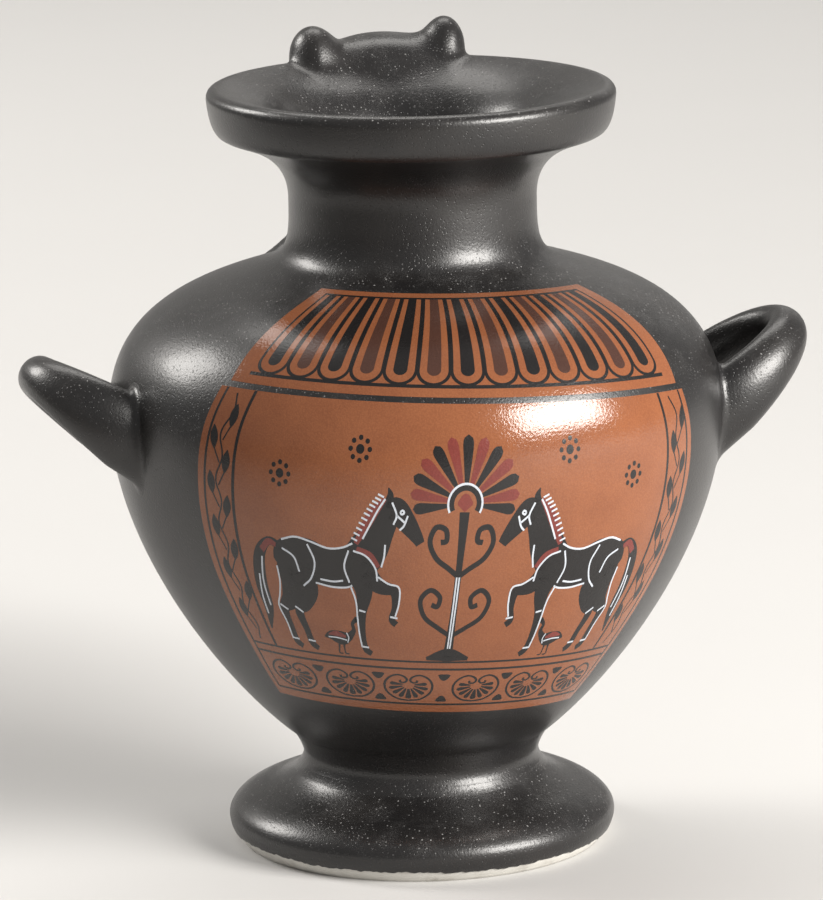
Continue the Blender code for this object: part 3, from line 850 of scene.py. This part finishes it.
middles = (np.arange(TONGUES) - TONGUES // 2) * TONGUE_STEP
t, v = np.meshgrid(np.linspace(-SHOULDER_TURN, SHOULDER_TURN, 140), np.linspace(*SHOULDER_RISES, 40),
                   indexing="ij")
transfer("shoulder_ground", [shoulder_sheet(t, v)], GROUND_LIFT, GROUND_COAT, ORANGE)
black_lines = [tongue(m, (1.02, 1.02), TONGUE_FOOT) for m in middles]
black_lines += [shoulder_line(10.80, 0.48, 44.9), shoulder_line(27.95, 0.5, 44.4)]
transfer("shoulder_outlines", black_lines, LINE_LIFT, INK_COAT, BLACK)
tongues = [tongue(m, (0.80, 0.86), TONGUE_FOOT + 0.42) for m in middles]
transfer("shoulder_tongues", tongues, FILL_LIFT, INK_COAT, ORANGE)
cores = [tongue(m, (0.38, 0.42), TONGUE_FOOT + 1.45) for m in middles]
transfer("shoulder_cores_black", cores[::2], TOP_LIFT, INK_COAT, BLACK)
transfer("shoulder_cores_brown", cores[1::2], TOP_LIFT, INK_COAT, BROWN)

# Main panel: half width in degrees against the rise
PANEL_RISES = np.array((-38.4, -33.0, -28.5, -22.0, -15.0, -6.0, 2.0, 8.6))
PANEL_TURNS = np.array((48.9, 49.1, 49.5, 50.7, 51.9, 52.4, 51.8, 50.0))
PANEL_TOP = 8.55
PANEL_FOOT = PANEL_RISES[0]
PANEL_DEGREE_MM = 0.66
FRAME_INSET = 1.7
BAND_RISES = (-28.45, -29.80, -36.75)


def panel_turn(rise):
    """Half width of the panel in degrees at a rise: a smooth line through its measured widths."""
    line = through(np.stack((PANEL_RISES, PANEL_TURNS), axis=1), 200)
    return np.interp(rise, line[:, 0], line[:, 1])


def panel_arch(turn, rise):
    """Sag of the panel's top rows towards its ends, fading out below the shoulder."""
    return rise - 0.6 * (turn / 49.0) ** 2 * np.clip((rise + 12) / 20, 0, 1)


def panel_sheet(turn, rise):
    """Sheet points of the panel from a turn and an unsagged rise."""
    turn, rise = np.broadcast_arrays(turn, rise)
    return np.stack((turn, panel_arch(turn, rise)), axis=-1)


def upright_line(side, inset, width, low, high):
    """Line that follows the panel's side at an inset in degrees."""
    rise = np.linspace(low, high, 90)[:, None]
    half = 0.5 * width / PANEL_DEGREE_MM
    return panel_sheet(side * (panel_turn(rise) - inset) + half * np.array((-1, 1)), rise)


def level_line(rise, width, inset):
    """Level line across the panel, ending at an inset in degrees from its sides."""
    reach = panel_turn(rise) - inset
    t = np.linspace(-reach, reach, 140)[:, None]
    return panel_sheet(t, rise + width * np.array((-0.5, 0.5)))


u, v = np.meshgrid(np.linspace(-1, 1, 150), np.linspace(PANEL_FOOT, PANEL_TOP, 96), indexing="ij")
transfer("panel_ground", [panel_sheet(u * panel_turn(v), v)], GROUND_LIFT, GROUND_COAT, ORANGE)

panel_black = [level_line(rise, width, FRAME_INSET)
               for rise, width in zip(BAND_RISES, (0.34, 0.38, 0.38))]
for side in (-1, 1):
    panel_black += [upright_line(side, FRAME_INSET, 0.34, BAND_RISES[2], PANEL_TOP - 0.05),
                    upright_line(side, 8.3, 0.42, BAND_RISES[0], PANEL_TOP - 0.05)]


def leaf(length, width):
    """Pointed leaf along +Y from the origin, sin(pi s)^0.9 wide."""
    s = np.linspace(0, 1, 14)
    half = 0.5 * width * np.sin(np.pi * s) ** 0.9
    return spindle(half, length * s, 4)


def turned_by(patch, degrees):
    """A flat patch turned about the origin."""
    c, s = np.cos(np.radians(degrees)), np.sin(np.radians(degrees))
    return patch @ np.array(((c, s), (-s, c)))


LEAVES = 10
VINE_INSET = 5.0
VINE_FOOT = -25.0
VINE_STEP = 3.05
VINE_DEGREE_MM = 0.69


def vine(side):
    """Vine up the panel's side: a swaying stem with leaves on short stalks, left and right by turns."""
    patches = []
    rise = np.linspace(-27.6, 7.9, 130)
    middle = side * (panel_turn(rise) - VINE_INSET)
    sway = 0.42 * np.cos(np.pi * (rise - VINE_FOOT) / VINE_STEP)
    stem = np.stack((middle * VINE_DEGREE_MM + sway, rise), axis=1)
    patches.append(scaled(ribbon(stem, 0.24), (0, 0), 1 / VINE_DEGREE_MM))
    for k, z in enumerate(VINE_FOOT + VINE_STEP * np.arange(LEAVES)):
        hand = 1 if k % 2 else -1
        x = side * (panel_turn(z) - VINE_INSET)
        stalk = through([(0.0, -0.9), (hand * 0.55, 0.2), (hand * 0.95, 1.0)], 12)
        blade = turned_by(leaf(3.3, 1.25), -hand * 7) + np.array((hand * 0.95, 0.8))
        for patch in (ribbon(stalk, 0.2), blade):
            patches.append(scaled(patch, (x, z), 1 / VINE_DEGREE_MM))
    return [panel_sheet(p[..., 0], p[..., 1]) for p in patches]


panel_black += vine(-1) + vine(1)

PALMETTE_TURNS = (8.8, 23.8, 39.2)
PALMETTE_RISE = -33.4
BAND_DEGREE = 1 / 0.495


def petal(angle, inner, outer, width):
    """Drop-shaped petal that points away from a palmette's heart, widest at three quarters of its length."""
    s = np.linspace(0, 1, 14)
    half = 0.5 * width * (0.25 + 0.75 * s) * np.sqrt(np.clip(1 - np.clip((s - 0.72) / 0.28, 0, 1) ** 2, 0, 1))
    y = -(inner + (outer - inner) * s)
    return turned_by(spindle(half, y, 4), angle)


def palmette():
    """Palmette in a ring: each half of the ring rises from below and rolls into a volute over nine petals."""
    half_ring = np.array([(0.0, -2.68), (1.55, -2.33), (2.75, -1.1), (3.02, 0.45), (2.45, 1.75), (1.45, 2.38),
                          (0.6, 2.1), (0.2, 1.45), (0.5, 0.95), (1.0, 1.0), (1.05, 1.42)])
    patches = []
    for hand in (-1, 1):
        patches.append(ribbon(through(half_ring * np.array((hand, 1)), 64), 0.3))
    for k in range(-4, 5):
        angle = 24.5 * k
        outer = 2.75 - 0.05 * abs(k) if abs(k) < 4 else 2.35
        patches.append(petal(angle, 0.75, outer, 0.78 if k else 0.98) + np.array((0, 0.42)))
    return patches


def wedge(point):
    """Small heart-like filler with its point up or down."""
    s = np.linspace(0, 1, 10)
    half = 0.85 * np.sqrt(s) * np.sqrt(np.clip(1 - np.clip((s - 0.8) / 0.25, 0, 1) ** 2, 0, 1))
    y = -point * (s - 0.5) * 1.25
    return spindle(half, y, 4)


band = []
for turn in [-t for t in PALMETTE_TURNS] + list(PALMETTE_TURNS):
    band += [scaled(p, (turn, PALMETTE_RISE), BAND_DEGREE) for p in palmette()]
for turn in (-31.5, -16.3, 0.0, 16.3, 31.5):
    band.append(scaled(wedge(-1), (turn, PALMETTE_RISE + 2.05), BAND_DEGREE))
    band.append(scaled(wedge(1), (turn, PALMETTE_RISE - 2.15), BAND_DEGREE))
panel_black += band

# Scene of the panel, in millimetres over its ground line: paired horses at a palmette tree
HORSE_STROKES = (
    ((-8.5, 13.0), (-7.6, 13.6), (-6.4, 14.0), (-3.6, 13.9), (-0.6, 13.3), (2.6, 13.5), (5.2, 14.4),
     (6.6, 14.8)),
    ((4.4, 14.2), (6.2, 16.6), (7.5, 19.0), (8.7, 21.2), (9.6, 22.2)),
    ((8.4, 22.2), (9.8, 21.6), (11.4, 20.0), (12.9, 18.2), (13.5, 17.3)),
    ((8.7, 22.4), (8.9, 23.4), (8.6, 24.3)),
    ((4.4, 13.0), (5.2, 10.2), (4.7, 6.9), (4.6, 3.4), (4.9, 1.3), (5.9, 0.45)),
    ((5.4, 13.0), (7.6, 11.2), (9.9, 10.5), (10.1, 8.2), (9.6, 6.3), (10.3, 5.5)),
    ((-6.4, 13.2), (-6.2, 10.4), (-7.2, 7.9), (-8.7, 6.2), (-8.2, 3.4), (-7.9, 1.3), (-6.9, 0.45)),
    ((-5.0, 12.6), (-3.9, 9.9), (-4.7, 7.7), (-6.0, 6.2), (-5.3, 3.4), (-4.9, 1.3), (-3.9, 0.45)),
    ((-7.6, 15.3), (-9.6, 15.9), (-11.4, 13.8), (-12.0, 9.8), (-11.7, 6.2), (-12.4, 2.6)),
)
HORSE_WIDTHS = (
    (1.6, 4.2, 5.6, 6.2, 5.4, 5.6, 5.6, 3.2),
    (5.6, 5.4, 4.4, 3.5, 2.0),
    (1.6, 3.2, 2.7, 1.8, 1.3),
    (1.2, 0.9, 0.15),
    (3.6, 2.7, 1.45, 1.05, 1.15, 0.9),
    (3.4, 2.3, 1.5, 1.05, 1.05, 1.0),
    (4.4, 4.2, 3.0, 1.7, 1.15, 1.2, 0.9),
    (4.0, 3.6, 2.5, 1.6, 1.15, 1.2, 0.9),
    (1.2, 1.2, 1.9, 2.2, 1.8, 0.3),
)
HORSE_WHITE = (
    ((-7.4, 16.4), (-5.2, 17.0), (-2.8, 16.6), (-0.2, 15.95), (2.0, 16.2), (3.6, 16.9)),
    ((-2.4, 10.9), (0.2, 10.55), (2.4, 10.65), (3.4, 11.0)),
    ((-8.6, 12.6), (-8.5, 10.4), (-9.0, 8.3), (-9.6, 6.6), (-8.85, 4.2), (-8.5, 1.6)),
    ((3.1, 11.0), (3.85, 8.8), (3.95, 6.2), (4.05, 3.6), (4.3, 1.6)),
    ((7.4, 12.5), (9.0, 11.6), (10.65, 11.1), (10.7, 8.8), (10.15, 6.8)),
    ((8.4, 17.0), (8.3, 15.4), (7.9, 13.9)),
    ((5.1, 17.6), (6.2, 19.6), (7.2, 21.4), (8.2, 22.9)),
    ((3.7, 15.9), (5.6, 15.3), (7.0, 13.7), (7.3, 11.9)),
    ((3.0, 15.9), (2.3, 13.6), (3.0, 11.4)),
    ((-3.3, 16.2), (-2.3, 13.9), (-3.0, 11.6), (-4.5, 10.2)),
    ((-7.4, 15.2), (-5.6, 14.2), (-4.9, 12.2)),
    ((9.2, 22.5), (9.9, 20.9), (9.5, 19.7)),
    ((11.5, 20.9), (11.0, 19.6), (10.4, 19.0)),
    ((9.9, 20.9), (11.1, 20.0)),
    ((10.4, 21.35), (10.75, 21.55), (10.95, 21.25), (10.6, 21.05), (10.4, 21.35)),
    ((-1.6, 11.5), (0.4, 11.35), (2.0, 11.6)),
    ((-11.0, 13.6), (-11.5, 10.0), (-11.2, 6.4)),
    ((-12.0, 11.0), (-12.3, 7.8), (-12.1, 5.0)),
    ((4.3, 7.4), (5.3, 7.2)),
    ((4.2, 1.6), (5.5, 1.5)),
    ((9.3, 6.7), (10.5, 6.5)),
    ((-9.3, 6.9), (-8.0, 6.2)),
    ((-8.6, 1.7), (-7.3, 1.6)),
    ((-6.6, 6.9), (-5.3, 6.1)),
    ((-5.5, 1.7), (-4.2, 1.6)),
)
HORSE_RED = (
    ((4.1, 16.9), (5.5, 19.3), (6.8, 21.4), (8.2, 22.9)),
    ((4.2, 16.2), (6.2, 15.5), (7.5, 13.9)),
    ((-8.4, 15.5), (-9.6, 15.8), (-10.9, 14.5)),
)
HORSE_RED_WIDTHS = ((0.7, 1.3, 1.3, 0.5), (0.7, 0.75, 0.6), (0.6, 0.9, 0.9))
MANE_LINE = ((4.3, 17.3), (5.5, 19.6), (6.7, 21.6), (8.0, 23.1))
MANE_LOCKS = 11
VOLUTES = (((0.2, 3.6), (1.9, 4.6), (3.9, 6.0), (4.6, 8.1), (3.4, 9.4), (2.1, 8.6), (2.3, 7.4), (3.1, 7.6)),
           ((0.2, 11.2), (1.3, 12.0), (3.0, 13.2), (3.9, 15.0), (3.3, 16.6), (2.1, 16.4), (1.9, 15.2),
            (2.6, 15.0)))
FIELD_RISE = BAND_RISES[0] + 0.2
FIELD_DEGREE = 1 / PANEL_DEGREE_MM
FIELD_STRETCH = 1.26


def stroke(points, width, count=26):
    """Drawn stroke: a smooth line through points whose width follows given widths at them."""
    widths = np.broadcast_to(np.array(width, float), len(points))
    line = through(np.column_stack((np.array(points, float), widths)), count)
    return ribbon(line[:, :2], np.maximum(line[:, 2], 0.05), 9)


def horse():
    """Prancing horse that faces +X on a ground line at zero: black strokes, dark red mane and white lines."""
    crest = through(MANE_LINE, MANE_LOCKS)
    return {"black": [stroke(p, w) for p, w in zip(HORSE_STROKES, HORSE_WIDTHS)],
            "red": [stroke(p, w) for p, w in zip(HORSE_RED, HORSE_RED_WIDTHS)],
            "white": [stroke(p, 0.26, 18) for p in HORSE_WHITE]
            + [stroke([c, c + np.array((-0.85, 0.35))], 0.24, 4) for c in crest]}


def fan(count, spread, inner, outer, width):
    """Petals in a fan about +Y, drop-shaped and turned by even steps; the outer ones are shorter."""
    patches = []
    s = np.linspace(0, 1, 16)
    half = 0.5 * width * (0.3 + 0.7 * s) * np.sqrt(np.clip(1 - np.clip((s - 0.75) / 0.25, 0, 1) ** 2, 0, 1))
    for share in np.linspace(-1, 1, count):
        y = inner + (outer * (1 - 0.18 * share ** 2) - inner) * s
        patches.append(turned_by(spindle(half, y), -share * spread))
    return patches


def tree():
    """Palmette tree on the ground line: a stem between two pairs of volutes under a fan of petals."""
    heart = np.array((0.0, 19.2))
    arc = np.radians(np.linspace(-118, 118, 40))
    ring = np.stack((np.sin(arc), np.cos(arc)), axis=1)
    petals = [p * np.array((1.0, 0.92)) + heart for p in fan(13, 97, 2.1, 7.6, 1.55)]
    black = [stroke([(0, 0), (0, 6), (0, 12.5), (0, 18.3)], (1.5, 0.9, 0.8, 1.2)),
             stroke([(-3.2, 0.35), (0, 0.9), (3.2, 0.35)], (0.5, 1.8, 0.5)),
             stroke(heart + 1.65 * ring, 0.6, 48)]
    white = [stroke(heart + 2.05 * ring, 0.24, 48)]
    for hand in (-1, 1):
        black += [stroke(np.array(line) * np.array((hand, 1.0)), 0.62, 48) for line in VOLUTES]
        white.append(stroke([(0.17 * hand, y) for y in (1.8, 4.4, 7.8, 11.0)], 0.2))
    bud = stroke([(-0.9, 19.2), (0, 19.3), (0.9, 19.2)], (0.3, 1.9, 0.3))
    return {"black": black + petals[::2], "red": petals[1::2] + [bud], "white": white}


def rosette():
    """Filling rosette: a dot in a ring of eight dots."""
    turn = np.linspace(0, 2 * np.pi, 17)[:, None, None]
    dot = np.concatenate((np.cos(turn), np.sin(turn)), axis=2) * np.array((0.0, 0.5, 1.0))[:, None]
    around = np.radians(np.arange(8) * 45.0)
    return [0.5 * dot] + [0.27 * dot + 1.15 * np.array((np.cos(a), np.sin(a))) for a in around]


def water_bird():
    """Small water bird that walks towards +X, with a red wing and white lines."""
    black = [stroke([(-3.4, 2.9), (-2.0, 3.2), (0.0, 2.9), (1.6, 3.3)], (0.3, 1.7, 2.4, 1.2)),
             stroke([(1.3, 3.2), (2.3, 4.4), (2.2, 5.6), (3.0, 6.4)], (1.4, 0.8, 0.6, 0.9)),
             stroke([(2.7, 6.4), (3.5, 6.3), (4.3, 5.9)], (0.9, 0.6, 0.15)),
             stroke([(0.2, 2.2), (0.1, 1.1), (0.2, 0.2), (0.9, 0.12)], (0.5, 0.28, 0.26, 0.2)),
             stroke([(-0.7, 2.2), (-0.9, 1.1), (-1.0, 0.2), (-0.3, 0.12)], (0.5, 0.28, 0.26, 0.2))]
    red = [stroke([(-2.6, 3.4), (-1.0, 3.6), (0.7, 3.2)], (0.25, 0.95, 0.4))]
    white = [stroke([(-2.7, 2.9), (-1.0, 2.9), (0.8, 2.6)], 0.2),
             stroke([(0.9, 3.9), (1.2, 3.1), (0.9, 2.2)], 0.2)]
    return {"black": black, "red": red, "white": white}


def placed(patch, flip, x, y, size=1.0):
    """A patch made larger, mirrored if flip is -1, and moved."""
    return patch * np.array((flip * size, size)) + np.array((x, y))


DESIGN = tree()
for hand in (-1, 1):
    for drawing, x, size in ((horse(), 16.4, 0.84), (water_bird(), 15.6, 0.78)):
        for colour, patches in drawing.items():
            DESIGN[colour] = DESIGN[colour] + [placed(p, -hand, hand * x, 0.25, size) for p in patches]
    DESIGN["black"] += [placed(p, 1, hand * x, y) for x, y in ((12.8, 24.4), (22.6, 21.2)) for p in rosette()]


def on_panel(patch):
    """A patch of the scene on the panel's sheet."""
    sheet = scaled(patch * np.array((1.0, FIELD_STRETCH)), (0.0, FIELD_RISE), FIELD_DEGREE)
    return panel_sheet(sheet[..., 0], sheet[..., 1])


transfer("panel_drawing", panel_black + [on_panel(p) for p in DESIGN["black"]], LINE_LIFT, INK_COAT, BLACK)
transfer("panel_red", [on_panel(p) for p in DESIGN["red"]], FILL_LIFT, INK_COAT, RED)
transfer("panel_white", [on_panel(p) for p in DESIGN["white"]], TOP_LIFT, INK_COAT, WHITE)


# Stage, light and camera

def paper_sweep():
    """Studio paper: a level sheet that bends up behind the jar in a quarter round."""
    bend = np.linspace(0, 0.5 * np.pi, 24)
    y = np.concatenate(([-2500.0], np.linspace(-1500, 1300, 12), 1300 + 700 * np.sin(bend[1:]), [2000.0]))
    z = np.concatenate((np.zeros(13), 700 * (1 - np.cos(bend[1:])), [2400.0]))
    x = np.linspace(-2600, 2600, 20)
    points = np.stack((x[None, :] + 0 * y[:, None], y[:, None] + 0 * x, z[:, None] + 0 * x), axis=-1) * MM
    mesh = bpy.data.meshes.new("paper_sweep")
    faces = grid_faces(len(y), len(x), closed_cols=False)[:, ::-1]
    mesh.from_pydata(points.reshape(-1, 3).tolist(), [], faces.tolist())
    mesh.shade_smooth()
    mesh.materials.append(paper_finish())
    sweep = bpy.data.objects.new("paper_sweep", mesh)
    bpy.context.scene.collection.objects.link(sweep)


paper_sweep()


LAMP_COLOUR = (1.0, 0.97, 0.93)
LAMP_AIM = Vector((0, 0, 0.055))


def softbox(name, azimuth, elevation, distance, size, power):
    """Rectangular lamp that looks at the jar's middle; azimuth runs from the front towards +X."""
    a, e = np.radians(azimuth), np.radians(elevation)
    away = Vector((np.sin(a) * np.cos(e), -np.cos(a) * np.cos(e), np.sin(e)))
    lamp = bpy.data.lights.new(name, "AREA")
    lamp.shape = "RECTANGLE"
    lamp.size, lamp.size_y = size
    lamp.energy = power
    lamp.color = LAMP_COLOUR
    holder = bpy.data.objects.new(name, lamp)
    holder.location = LAMP_AIM + distance * away
    holder.rotation_euler = away.to_track_quat("Z", "Y").to_euler()
    bpy.context.scene.collection.objects.link(holder)


softbox("key_softbox", 46, 21, 0.95, (0.58, 0.38), 19.2)
softbox("rim_softbox", -127, 32, 1.0, (0.34, 0.36), 6.1)
softbox("back_softbox", 174, 60, 1.25, (1.0, 0.55), 6.3)
softbox("wall_softbox", 150, 21, 1.4, (0.9, 0.55), 0.45)

world = bpy.data.worlds.new("studio")
world.use_nodes = True
backing = world.node_tree.nodes["Background"]
backing.inputs["Color"].default_value = (0.92, 0.91, 0.90, 1)
backing.inputs["Strength"].default_value = 0.32
bpy.context.scene.world = world
bpy.context.scene.view_settings.view_transform = "Standard"

# Camera: fitted to the picture's 823 x 900 frame; the aim point lies 5 px left of and 3.8 px above the axis
FOCAL_PX = 6221.0
FRAME_LONG_PX = 900.0
SENSOR = 36.0
CAMERA_TURN = np.radians(10.5)
CAMERA_AWAY = 0.7936
CAMERA_HEIGHT = 0.2270
CAMERA_ROLL = np.radians(0.90)
AIM_Z = 0.0512
AIM_OFF_PX = (-5.0, 3.8)

camera = bpy.data.cameras.new("camera")
camera.sensor_width = SENSOR
camera.lens = SENSOR * FOCAL_PX / FRAME_LONG_PX
camera.clip_start, camera.clip_end = 0.05, 20.0
spot = Vector((-CAMERA_AWAY * np.sin(CAMERA_TURN), -CAMERA_AWAY * np.cos(CAMERA_TURN), CAMERA_HEIGHT))
look = Vector((0, 0, AIM_Z)) - spot
level = look.to_track_quat("-Z", "Y").to_matrix()
per_px = look.length / FOCAL_PX
roll = Matrix.Rotation(-CAMERA_ROLL, 3, "Z")
shifted = look + (level @ roll) @ Vector((AIM_OFF_PX[0] * per_px, AIM_OFF_PX[1] * per_px, 0))
pose = (shifted.to_track_quat("-Z", "Y").to_matrix() @ roll).to_4x4()
pose.translation = spot
eye = bpy.data.objects.new("camera", camera)
eye.matrix_world = pose
bpy.context.scene.collection.objects.link(eye)
bpy.context.scene.camera = eye
